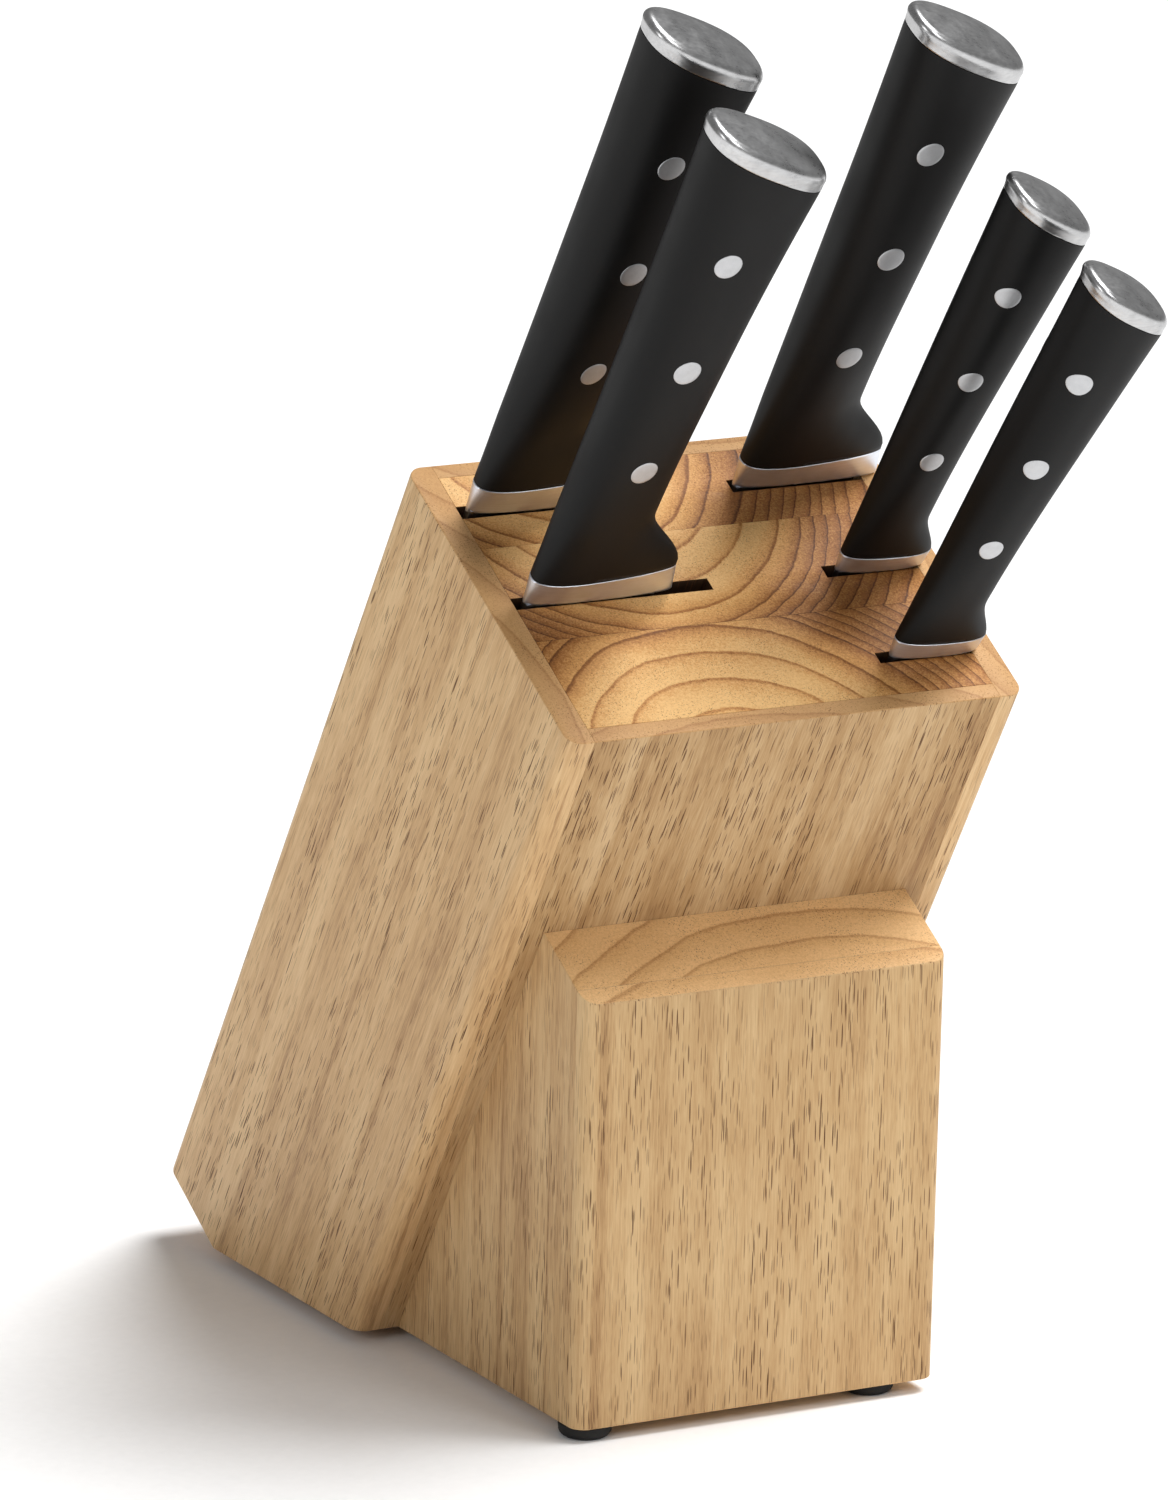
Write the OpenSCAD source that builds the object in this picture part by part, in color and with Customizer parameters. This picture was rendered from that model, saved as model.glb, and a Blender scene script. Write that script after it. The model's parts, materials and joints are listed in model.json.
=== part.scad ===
// Leaning knife block with a separate foot block and five riveted kitchen knives.
// Each knife lifts straight out of its own slot, along the block's leaning axis.
// +Z is up, -Y is the front, and the origin is on the floor under the middle of the bounding box.

/* [Leaning block] */
// Width of the block across the two side boards
block_w = 108; // [104:1:116]
// Thickness of the block from its front face to its back face
block_t = 84; // [82:1:90]
// Length of the front face from the floor line to the top face
block_front_len = 174; // [165:1:190]
// Length of the back face from the lower cut to the top face
block_back_len = 208; // [205:1:214]
// Angle that the block leans forward from upright
lean = 30.4; // [27:0.1:33]
// Radius of the long edges of the block and of the foot block
edge_r = 3.6; // [1:0.1:5]

/* [Boards] */
// Thickness of the two side boards
side_t = 6; // [5.5:0.5:6]
// Thickness of the front and back skins
skin_t = 4; // [3:0.5:4]
// Distance from the front face to the joint between the front and middle core boards
joint_front = 30; // [26:1:33]
// Distance from the front face to the joint between the middle and back core boards
joint_back = 58; // [54:1:61]

/* [Slots] */
// Width of the slot in the front row
slot_w_front = 3; // [2.6:0.1:3.6]
// Width of the slots in the middle row
slot_w_middle = 3.4; // [3:0.1:4]
// Width of the slots in the back row
slot_w_back = 3.6; // [3:0.1:4]
// Distance from the front face to the middle of the front slot
row_front = 14.9; // [12:0.1:18]
// Distance from the front face to the middle of the slots of the middle row
row_middle = 41.3; // [38:0.1:46]
// Distance from the front face to the middle of the slots of the back row
row_back = 69.3; // [66:0.1:72]
// Length of the slots that are sawn in from the left
slot_len_left = 46.4; // [46:0.2:48]
// Length of the back slot that is sawn in from the right
slot_len_back_right = 31.5; // [31:0.2:34]
// Length of the two small slots that are sawn in from the right
slot_len_small = 22.2; // [22:0.2:24]

/* [Foot block] */
// Width of the foot block
foot_w = 87; // [80:1:96]
// Height of the foot block along the front face of the leaning block
foot_len = 119; // [110:1:125]
// Depth of the slanted top face of the foot block
foot_top = 21.7; // [19:0.1:26]
// Thickness of the board on the face of the foot block
foot_face_t = 4; // [3:0.5:6]
// Diameter of the dowels between the foot block and the leaning block
dowel_d = 8; // [6:1:8]
// Length of those dowels
dowel_len = 26; // [22:1:28]

/* [Rubber feet] */
// Height of the rubber feet
pad_h = 3; // [2.5:0.1:4]
// Diameter of a rubber foot against the wood
pad_d = 11.4; // [10:0.1:13]
// Length of the screws that hold the rubber feet
screw_len = 12; // [8:1:16]

/* [Large handles] */
// Height of a large handle from the bolster's foot to the middle of the end cap's joint
large_len = 118; // [112:1:124]
// Width of a large handle at its end cap
large_butt_w = 28.8; // [26:0.2:31]
// Distance from the spine's line to the edge side at the waist of a large handle
large_waist_x = 23.7; // [22:0.1:25]
// Distance from the spine's line to the edge side at the finger guard of a large handle
large_guard_x = 34; // [32:0.2:35]
// Thickness of a large handle at its end cap
large_butt_t = 16.8; // [14:0.2:18]
// Height of a large bolster
large_bolster_h = 7; // [6:0.2:9]

/* [Small handles] */
// Height of a small handle from the bolster's foot to the middle of the end cap's joint
small_len = 94.5; // [90:0.5:100]
// Width of a small handle at its end cap
small_butt_w = 20.4; // [19:0.2:22]
// Distance from the spine's line to the edge side at the waist of a small handle
small_waist_x = 16.8; // [16:0.1:18]
// Distance from the spine's line to the edge side at the finger guard of a small handle
small_guard_x = 22; // [21:0.2:23]
// Thickness of a small handle at its end cap
small_butt_t = 15.6; // [13:0.2:16]
// Height of a small bolster
small_bolster_h = 4.9; // [4:0.1:6]

/* [Blades] */
// Length of the chef's knife blade
chef_blade_len = 200; // [180:1:200]
// Length of the bread knife blade
bread_blade_len = 190; // [170:1:190]
// Length of the carving knife blade
carving_blade_len = 200; // [180:1:200]
// Length of the utility knife blade
utility_blade_len = 130; // [110:1:150]
// Length of the paring knife blade
paring_blade_len = 90; // [75:1:110]
// Thickness of the spine of the large blades
large_blade_t = 2.2; // [1.8:0.1:2.4]
// Thickness of the spine of the small blades
small_blade_t = 1.7; // [1.4:0.1:1.8]

/* [Hidden] */
$fn = 48;

// Numbers of points on the knife surfaces
ring_points = 28;
handle_rings = 18;
blade_rings = 24;
scallops = 26;
rings_per_scallop = 4;

// Block, measured in the leaning frame: X across, Y from the front face to the back face,
// Z up the leaning axis from the front face's floor line
core_w = block_w - 2 * side_t;
block_low = block_front_len - block_back_len;
past = 400;

// Rubber feet
pad_round = 1.45;
pad_front_left = [-37.8, 6.5];
pad_front_right = [31, 7.5];
pad_rear_x = 40;
pad_rear_y = 56;
screw_d = 2.6;
screw_head_d = 5.6;
screw_head_h = 1.2;
screw_recess = 0.8;

// Dowels between the foot block and the leaning block
dowel_height = 62;
dowel_spread = 23;
dowel_in_block = 11;
fit = 0.03;

// Knives
knife_gap = 0.3;
section_power = 2.55;
cap_steps = 5;
cap_round = 2.2;
cap_dome = 0.6;
cap_flare = 0.2;
cap_top_inset = 5;
tang_play = 0.05;
shank_step = 1.6;
head_from = 2;
spine_inset = 0.5;
heel_drop = 1.4;
heel_step = 0.2;

// Kinds of handle, read with the named functions below:
// butt width, edge side at the waist, edge side at the guard, butt thickness, joint thickness,
// bolster height, height where the guard starts to fall away, height of the waist, rise of
// the spine, share of the length over which the handle thickens, thinning towards the edge
// side at the joint, thickness of the bolster's foot, thinning of the foot, reach of the foot
// past the guard, slope of the end cap, height of the end cap, diameter of a rivet's head,
// rivet spacing, width of the tang
LARGE = [
    large_butt_w, large_waist_x, large_guard_x, large_butt_t, 7,
    large_bolster_h, 7.6, 24, 5.2, 0.58, 0.36, 3.7, 0.12, 1, 0.44, 4.6, 6, 28.2, 10
];
SMALL = [
    small_butt_w, small_waist_x, small_guard_x, small_butt_t, 6.5,
    small_bolster_h, 2.6, 16, 3.5, 0.78, -0.1, 4, -0.1, -0.5, 0.51, 4.3, 5.2, 23, 6
];

// Knives, read with the named functions below:
// name, kind, place of the spine across the block, row, height above the block's top,
// handle length, sideways sweep of the handle, rivets' distance from the spine's line at the
// bolster, sideways sweep of the rivets, lowest rivet, blade length, blade width, blade
// thickness, how far across the blade the tip lies, power of the edge's curve, power of the
// spine's curve
KNIVES = [
    ["chef", LARGE, -46.7, row_back, knife_gap + 0.8, large_len + 2, -0.015, 14.4, 0, 41.6,
        chef_blade_len, 42.6, large_blade_t, 0.3, 2.6, 7],
    ["bread", LARGE, -46, row_middle, knife_gap, large_len, -0.004, 12.3, 0.02, 40.5,
        bread_blade_len, 31, large_blade_t, 0.9, 14, 9],
    ["carving", LARGE, 16.9, row_back, knife_gap, large_len - 0.5, -0.027, 12, 0, 40.4,
        carving_blade_len, 29, large_blade_t, 0.35, 5, 8],
    ["utility", SMALL, 28.2, row_middle, knife_gap, small_len + 1.6, 0.049, 8, 0.044, 34.4,
        utility_blade_len, 18, small_blade_t, 0.45, 5, 5],
    ["paring", SMALL, 28.3, row_front, knife_gap, small_len, 0.106, 7.7, 0.099, 33.6,
        paring_blade_len, 18, small_blade_t, 0.5, 4, 4]
];
PIECES = ["blade", "bolster", "handle", "rivets", "end_cap"];

// Core boards, read with the named functions below: name, front, back, row of the slots,
// width of the slots, length of the slot sawn in from the left and of the one from the right
BOARDS = [
    ["core_front", skin_t, joint_front, row_front, slot_w_front, 0, slot_len_small],
    ["core_middle", joint_front, joint_back, row_middle, slot_w_middle,
        slot_len_left, slot_len_small],
    ["core_back", joint_back, block_t - skin_t, row_back, slot_w_back,
        slot_len_left, slot_len_back_right]
];
// Parts of each core board: in front of its saw cuts, between them and behind them
CUTS = ["fore", "web", "aft"];
BLOCK_NODES = [
    "side_board_left", "side_board_right", "front_skin", "back_skin",
    "foot_core", "foot_face", "foot_dowels",
    "foot_front_left", "foot_front_right", "foot_rear_left", "foot_rear_right", "foot_screws"
];

function board_name(b) = b[0];
function board_front(b) = b[1];
function board_back(b) = b[2];
function slot_row(b) = b[3];
function slot_w(b) = b[4];
function left_slot(b) = b[5];
function right_slot(b) = b[6];

function knife_name(k) = k[0];
function kind(k) = k[1];
function spine_x(k) = k[2];
function row(k) = k[3];
function lift(k) = k[4];
function handle_len(k) = k[5];
function sweep(k) = k[6];
function rivet_in(k) = k[7];
function rivet_sweep(k) = k[8];
function rivet_low(k) = k[9];
function blade_len(k) = k[10];
function blade_w(k) = k[11];
function blade_t(k) = k[12];
function tip_at(k) = k[13];
function edge_power(k) = k[14];
function spine_power(k) = k[15];

function butt_w(h) = h[0];
function waist_x(h) = h[1];
function guard_x(h) = h[2];
function butt_t(h) = h[3];
function joint_t(h) = h[4];
function bolster_h(h) = h[5];
function guard_z(h) = h[6];
function waist_z(h) = h[7];
function spine_rise(h) = h[8];
function thickens(h) = h[9];
function joint_wedge(h) = h[10];
function foot_t(h) = h[11];
function foot_wedge(h) = h[12];
function foot_reach(h) = h[13];
function cap_slope(h) = h[14];
function cap_h(h) = h[15];
function rivet_d(h) = h[16];
function rivet_step(h) = h[17];
function tang_w(h) = h[18];

// Smooth step from 0 to 1
function smooth(u) = let (v = min(1, max(0, u))) v * v * (3 - 2 * v);

// Height z above the bolster's foot, counted from the joint between the bolster and the handle
function above_joint(k, z) = max(0, z - bolster_h(kind(k)));

// Spine line and edge line of a handle at height z, half its thickness there, and how much
// its section thins from the middle to the edge side
function spine_line(k, z) = let (
        w = above_joint(k, z),
        u = 1 - w / (handle_len(k) - bolster_h(kind(k)))
    )
    spine_rise(kind(k)) * (1 - u * u) + sweep(k) * w;
function edge_line(k, z) = let (
        h = kind(k),
        butt = butt_w(h) + spine_rise(h),
        flare = 1 - cos(90 * max(0, (z - waist_z(h)) / (handle_len(k) - waist_z(h)))),
        guard = 1 - smooth((z - guard_z(h)) / (waist_z(h) - guard_z(h)))
    )
    waist_x(h) + (guard_x(h) - waist_x(h)) * guard + (butt - waist_x(h)) * flare
        + sweep(k) * above_joint(k, z);
function half_t(k, z) = let (h = kind(k), u = above_joint(k, z) / (thickens(h) * handle_len(k)))
    (joint_t(h) + (butt_t(h) - joint_t(h)) * sin(90 * min(1, u))) / 2;
function wedge(k, z) = joint_wedge(kind(k))
    * pow(max(0, 1 - above_joint(k, z) / (0.5 * handle_len(k))), 2);

// Point i of an oval section with half width a and half thickness b, thinner towards +X by w
function oval(a, b, w, i) = let (
        angle = 360 * i / ring_points,
        e = 2 / section_power,
        u = sign(cos(angle)) * pow(abs(cos(angle)), e),
        v = sign(sin(angle)) * pow(abs(sin(angle)), e)
    )
    [a * u, b * v * (1 - w * u)];

// Half thickness of the handle's section at height z, at distance x from the spine's line
function side_y(k, x, z) = let (
        left = spine_line(k, z),
        right = edge_line(k, z),
        u = (2 * x - left - right) / (right - left)
    )
    half_t(k, z) * pow(1 - pow(abs(u), section_power), 1 / section_power) * (1 - wedge(k, z) * u);

// Ring of the handle's section at height z, shrunk by inset, raised by rise and tilted by slope
function handle_ring(k, z, slope, inset, rise) = let (
        left = spine_line(k, z),
        right = edge_line(k, z),
        middle = (left + right) / 2
    )
    [for (i = [0:ring_points - 1])
        let (p = oval((right - left) / 2 - inset, half_t(k, z) - inset, wedge(k, z), i))
        [middle + p.x, p.y, z + rise - slope * p.x]];

// Solid through a list of rings that all have n points
module loft(rings, n) {
    last = len(rings) - 1;
    sides = [for (r = [0:last - 1]) for (i = [0:n - 1])
        let (a = r * n + i, b = r * n + (i + 1) % n)
        each [[a, b + n, b], [a, a + n, b + n]]];
    low = [for (i = [0:n - 1]) i];
    high = [for (i = [n - 1:-1:0]) last * n + i];
    polyhedron(points = [for (r = rings) each r], faces = concat(sides, [low, high]), convexity = 6);
}

// Rectangle with its middle on X, its front on Y = 0 and rounded corners
module rounded_rect(w, d, r) {
    translate([-w / 2 + r, 0]) square([w - 2 * r, d]);
    translate([-w / 2, r]) square([w, d - 2 * r]);
    for (x = [-w / 2 + r, w / 2 - r]) for (y = [r, d - r]) translate([x, y]) circle(r);
}

// Frame of the whole part: lifts the wood onto the feet and centres the bounding box
module standing() {
    paring = KNIVES[4];
    cap_x = spine_x(paring) + edge_line(paring, small_len) + cap_flare;
    cap_top = block_front_len + lift(paring) + small_len + cap_h(SMALL) + 0.08 * small_butt_w;
    cap_y = (row(paring) - small_butt_t / 2) * cos(lean) - cap_top * sin(lean);
    heel_y = block_t * cos(lean) - block_low * sin(lean);
    translate([(block_w / 2 - cap_x) / 2, -(heel_y + cap_y) / 2, pad_h]) children();
}

// Frame of the leaning block
module leaning() {
    rotate([lean, 0, 0]) children();
}

// Everything below the floor line of the wood
module below_wood() {
    translate([-past / 2, -past / 2, -past]) cube(past);
}

// Stretch of the leaning block between two distances across and two distances from the front
module block_stretch(x0, x1, y0, y1) {
    difference() {
        leaning() intersection() {
            translate([0, 0, block_low]) linear_extrude(block_back_len)
                rounded_rect(block_w, block_t, edge_r);
            translate([x0, y0, block_low]) cube([x1 - x0, y1 - y0, block_back_len]);
        }
        below_wood();
    }
}

module side_board_left() {
    color("burlywood") standing()
        block_stretch(-block_w / 2, -core_w / 2, 0, block_t);
}

module side_board_right() {
    color("burlywood") standing()
        block_stretch(core_w / 2, block_w / 2, 0, block_t);
}

module front_skin() {
    color("wheat") standing() difference() {
        block_stretch(-core_w / 2, core_w / 2, 0, skin_t);
        dowel_holes();
    }
}

module back_skin() {
    color("wheat") standing()
        block_stretch(-core_w / 2, core_w / 2, block_t - skin_t, block_t);
}

// One part of a core board, split along its saw cuts: the web is what lies between the cuts
module core_piece(b, cut) {
    cut_front = slot_row(b) - slot_w(b) / 2;
    cut_back = slot_row(b) + slot_w(b) / 2;
    color("tan") standing() difference() {
        if (cut == "fore") block_stretch(-core_w / 2, core_w / 2, board_front(b), cut_front);
        else if (cut == "aft") block_stretch(-core_w / 2, core_w / 2, cut_back, board_back(b));
        else block_stretch(
            -core_w / 2 + left_slot(b), core_w / 2 - right_slot(b), cut_front, cut_back
        );
        dowel_holes();
        for (side = [-1, 1]) pad_at(side, false) screw_hole();
    }
}

// Front face of the foot block, measured from the leaning block's floor line
function foot_front_y() = -foot_len * sin(lean) - foot_top * cos(lean);

// Stretch of the foot block between two distances from its own front face
module foot_stretch(y0, y1) {
    depth = -foot_front_y();
    difference() {
        intersection() {
            translate([0, -depth, 0]) linear_extrude(foot_len + foot_top)
                rounded_rect(foot_w, depth + 2 * edge_r, edge_r);
            translate([-foot_w, y0 - depth, 0]) cube([2 * foot_w, y1 - y0, past]);
        }
        leaning() translate([-past / 2, 0, -past / 2]) cube(past);
        leaning() translate([-past / 2, -past / 2, foot_len]) cube(past);
    }
}

module foot_core() {
    color("burlywood") standing() difference() {
        foot_stretch(foot_face_t, past);
        dowel_holes();
        for (side = [-1, 1]) pad_at(side, true) screw_hole();
    }
}

module foot_face() {
    color("wheat") standing() foot_stretch(0, foot_face_t);
}

// Dowels lie at right angles to the joint between the foot block and the leaning block
module dowel_places() {
    for (x = [-dowel_spread, dowel_spread]) leaning()
        translate([x, dowel_in_block, dowel_height]) rotate([90, 0, 0]) children();
}

module dowel_holes() {
    dowel_places() translate([0, 0, -0.5]) cylinder(d = dowel_d + 2 * fit, h = dowel_len + 1);
}

module foot_dowels() {
    color("tan") standing() dowel_places() cylinder(d = dowel_d, h = dowel_len);
}

// Place of a rubber foot: side is -1 on the left and 1 on the right
module pad_at(side, front) {
    near = side < 0 ? pad_front_left : pad_front_right;
    place = front ? [near.x, foot_front_y() + near.y] : [side * pad_rear_x, pad_rear_y];
    translate(place) children();
}

// Hole in the wood for a foot's screw
module screw_hole() {
    translate([0, 0, -1]) cylinder(d = screw_d + 2 * fit, h = screw_len + 1);
}

// Outline of half a rubber foot: straight at the wood, then rounded down to its flat base
module pad_outline() {
    r = pad_d / 2 - pad_round;
    translate([0, -pad_h]) square([r, pad_h]);
    translate([0, pad_round - pad_h]) square([pad_d / 2, pad_h - pad_round]);
    translate([r, pad_round - pad_h]) circle(pad_round);
}

module rubber_foot(side, front) {
    color("black") standing() pad_at(side, front) difference() {
        rotate_extrude() pad_outline();
        translate([0, 0, -pad_h - 1]) cylinder(d = screw_d + 2 * fit, h = pad_h + 2);
        translate([0, 0, -pad_h - 1])
            cylinder(d = screw_head_d + 2 * fit, h = 1 + screw_recess + screw_head_h);
    }
}

module foot_front_left() {
    rubber_foot(-1, true);
}

module foot_front_right() {
    rubber_foot(1, true);
}

module foot_rear_left() {
    rubber_foot(-1, false);
}

module foot_rear_right() {
    rubber_foot(1, false);
}

// One screw, with its head sunk in the rubber foot and its shank up in the wood
module foot_screw() {
    head_z = -pad_h + screw_recess;
    translate([0, 0, head_z]) cylinder(d = screw_head_d, h = screw_head_h);
    translate([0, 0, head_z]) cylinder(d = screw_d, h = screw_len - head_z - 1);
}

module foot_screws() {
    color("silver") standing()
        for (side = [-1, 1]) for (front = [true, false]) pad_at(side, front) foot_screw();
}

// Frame of a knife: X from its spine to its edge, Z up the leaning axis from its bolster's foot
module knife_frame(k) {
    standing() leaning()
        translate([spine_x(k), row(k), block_front_len + lift(k)]) children();
}

// Height of the tang's end in a handle
function tang_top(k) = rivet_low(k) + 2 * rivet_step(kind(k)) + 4;

// Middle of the tang and of the rivets across the handle at height z
function tang_x(k, z) = rivet_in(k) + rivet_sweep(k) * (z - bolster_h(kind(k)));

// Rivets along the knife's thickness, each a thin shank with a wide head on either side;
// past the handle's sides by out and wider by play
module rivet_pins(k, out, play) {
    h = kind(k);
    for (i = [0:2]) {
        z = rivet_low(k) + i * rivet_step(h);
        reach = side_y(k, tang_x(k, z), z) + out;
        translate([tang_x(k, z), 0, z]) rotate([90, 0, 0]) {
            cylinder(d = rivet_d(h) - shank_step + 2 * play, h = 2 * reach, center = true);
            for (turn = [0, 180]) rotate([turn, 0, 0]) translate([0, 0, head_from - play])
                cylinder(d = rivet_d(h) + 2 * play, h = reach - head_from + play);
        }
    }
}

// Straight bar of the tang, wider and thicker by play on every side
module tang_bar(k, play) {
    w = tang_w(kind(k)) + 2 * play;
    t = blade_t(k) - 0.2 + 2 * play;
    translate([tang_x(k, 0), 0, 0]) rotate([0, atan(rivet_sweep(k)), 0])
        translate([-w / 2, -t / 2, -4]) cube([w, t, tang_top(k) + 4 + play]);
}

// Half the depth that the bread knife's scallops take from the edge at a distance down the blade
function scallop(k, d) = knife_name(k) == "bread" && d > 10
    ? 0.5 * (1 - cos(360 * scallops * d / blade_len(k)))
    : 0;

// Section of the blade at distance d below the bolster: spine, grind line and edge
// Down to the heel the blade is no wider than the bolster
function blade_ring(k, d) = let (
        u = d / blade_len(k),
        t = blade_t(k) / 2,
        w = d > heel_drop ? blade_w(k) : min(blade_w(k), guard_x(kind(k)) - 1),
        spine = spine_inset + tip_at(k) * w * pow(u, spine_power(k)),
        edge = spine_inset + w * (1 - (1 - tip_at(k)) * pow(u, edge_power(k))) - scallop(k, d),
        left = min(spine, edge - 0.8),
        grind = left + 0.35 * (edge - left),
        thin = t * (1 - 0.55 * u)
    )
    [[left, -thin, -d], [grind, -thin, -d], [edge, -0.12, -d],
        [edge, 0.12, -d], [grind, thin, -d], [left, thin, -d]];

module blade(k) {
    steps = knife_name(k) == "bread" ? scallops * rings_per_scallop : blade_rings;
    depths = concat(
        [for (i = [0:steps - 1]) blade_len(k) * (1 - i / steps)],
        [heel_drop + heel_step, heel_drop, 0]
    );
    color("gainsboro") knife_frame(k) {
        loft([for (d = depths) blade_ring(k, d)], 6);
        difference() {
            tang_bar(k, 0);
            rivet_pins(k, 0, fit);
        }
    }
}

// Bolster: a band that thins from the handle's section down to a wedge just above the slot
module bolster(k) {
    h = kind(k);
    function ring(u) = let (
            half = (edge_line(k, bolster_h(h)) + foot_reach(h) * (1 - u)) / 2,
            thick = foot_t(h) + (joint_t(h) - foot_t(h)) * u,
            thin = foot_wedge(h) + (joint_wedge(h) - foot_wedge(h)) * u
        )
        [for (i = [0:ring_points - 1])
            let (p = oval(half, thick / 2, thin, i))
            [half + p.x, p.y, u * bolster_h(h)]];
    color("silver") knife_frame(k) difference() {
        loft([for (u = [0, 0.33, 0.66, 1]) ring(u)], ring_points);
        tang_bar(k, tang_play);
    }
}

module handle(k) {
    h = kind(k);
    rings = [for (i = [0:handle_rings])
        let (u = i / handle_rings, z = bolster_h(h) + u * (handle_len(k) - bolster_h(h)))
        handle_ring(k, z, cap_slope(h) * u * u, 0, 0)];
    color("dimgray") knife_frame(k) difference() {
        loft(rings, ring_points);
        tang_bar(k, tang_play);
        rivet_pins(k, 5, fit);
    }
}

module rivets(k) {
    color("silver") knife_frame(k) rivet_pins(k, 0, 0);
}

// End cap: continues the handle's oval, with a rounded rim and a slightly domed top
module end_cap(k) {
    h = kind(k);
    z = handle_len(k);
    straight = cap_h(h) - cap_round;
    rim = [for (i = [0:cap_steps]) let (a = 90 * i / cap_steps)
        handle_ring(k, z, cap_slope(h), cap_round * (1 - cos(a)) - cap_flare,
            straight + cap_round * sin(a))];
    top = handle_ring(k, z, cap_slope(h), cap_top_inset, cap_h(h) + cap_dome);
    color("silver") knife_frame(k)
        loft(concat([handle_ring(k, z, cap_slope(h), 0, 0)], rim, [top]), ring_points);
}

// One piece of a knife by name
module knife_piece(k, piece) {
    if (piece == "blade") blade(k);
    if (piece == "bolster") bolster(k);
    if (piece == "handle") handle(k);
    if (piece == "rivets") rivets(k);
    if (piece == "end_cap") end_cap(k);
}

side_board_left();
side_board_right();
front_skin();
back_skin();
foot_core();
foot_face();
foot_dowels();
foot_front_left();
foot_front_right();
foot_rear_left();
foot_rear_right();
foot_screws();
for (b = BOARDS) for (cut = CUTS)
    core_piece(b, cut);
for (k = KNIVES) for (piece = PIECES)
    knife_piece(k, piece);
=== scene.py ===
import json
import math

import bmesh
import bpy
from mathutils import Matrix, Vector


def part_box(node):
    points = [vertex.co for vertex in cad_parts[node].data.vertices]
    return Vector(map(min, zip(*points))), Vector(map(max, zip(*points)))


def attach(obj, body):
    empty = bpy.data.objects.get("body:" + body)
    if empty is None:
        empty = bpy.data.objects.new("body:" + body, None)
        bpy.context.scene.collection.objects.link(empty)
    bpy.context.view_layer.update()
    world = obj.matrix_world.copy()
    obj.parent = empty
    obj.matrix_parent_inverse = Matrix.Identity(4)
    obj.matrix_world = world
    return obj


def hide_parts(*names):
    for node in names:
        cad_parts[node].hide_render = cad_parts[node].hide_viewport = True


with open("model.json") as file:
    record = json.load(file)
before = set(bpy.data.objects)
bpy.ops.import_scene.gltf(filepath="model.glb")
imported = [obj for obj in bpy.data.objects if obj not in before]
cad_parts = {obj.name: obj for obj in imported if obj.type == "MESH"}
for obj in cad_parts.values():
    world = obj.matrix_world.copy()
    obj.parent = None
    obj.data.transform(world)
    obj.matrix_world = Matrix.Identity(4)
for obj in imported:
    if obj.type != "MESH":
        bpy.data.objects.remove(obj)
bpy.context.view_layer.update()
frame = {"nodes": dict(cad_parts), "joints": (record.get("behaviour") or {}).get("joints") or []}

# Lengths are in millimetres until a mesh is placed in the part's frame, which is in metres.
MM = 0.001
UP = Vector((0, 0, 1))


# ---------------------------------------------------------------- frames of the part

def node_points(*names):
    """Vertices of CAD nodes, in the part's frame, in metres."""
    return [vertex.co.copy() for name in names for vertex in frame["nodes"][name].data.vertices]


def wood_origin(lean):
    """Middle of the line where the block's front face would meet the underside of the wood."""
    sides = node_points("side_board_left", "side_board_right")
    low = min(p.z for p in sides)
    middle = (min(p.x for p in sides) + max(p.x for p in sides)) / 2
    face = min(p.y * math.cos(lean) + p.z * math.sin(lean) for p in node_points("front_skin"))
    return Vector((middle, (face - math.sin(lean) * low) / math.cos(lean), low))


LIFT_AXIS = Vector(frame["joints"][0]["axis"])
LEAN = math.atan2(-LIFT_AXIS.y, LIFT_AXIS.z)
ORIGIN = wood_origin(LEAN)
UPRIGHT = Matrix.Translation(ORIGIN) @ Matrix.Scale(MM, 4)
LEANING = Matrix.Translation(ORIGIN) @ Matrix.Rotation(LEAN, 4, "X") @ Matrix.Scale(MM, 4)


def box_in(place, *names):
    """Lowest and highest corner of CAD nodes in a millimetre frame."""
    inverse = place.inverted()
    points = [inverse @ p for p in node_points(*names)]
    low = Vector([min(p[i] for p in points) for i in range(3)])
    high = Vector([max(p[i] for p in points) for i in range(3)])
    return low, high


# ---------------------------------------------------------------- shader helpers

def linear(red, green, blue):
    """Linear colour of three sRGB levels from 0 to 255."""
    levels = [value / 255 for value in (red, green, blue)]
    return tuple(c / 12.92 if c <= 0.04045 else ((c + 0.055) / 1.055) ** 2.4 for c in levels)


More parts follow.
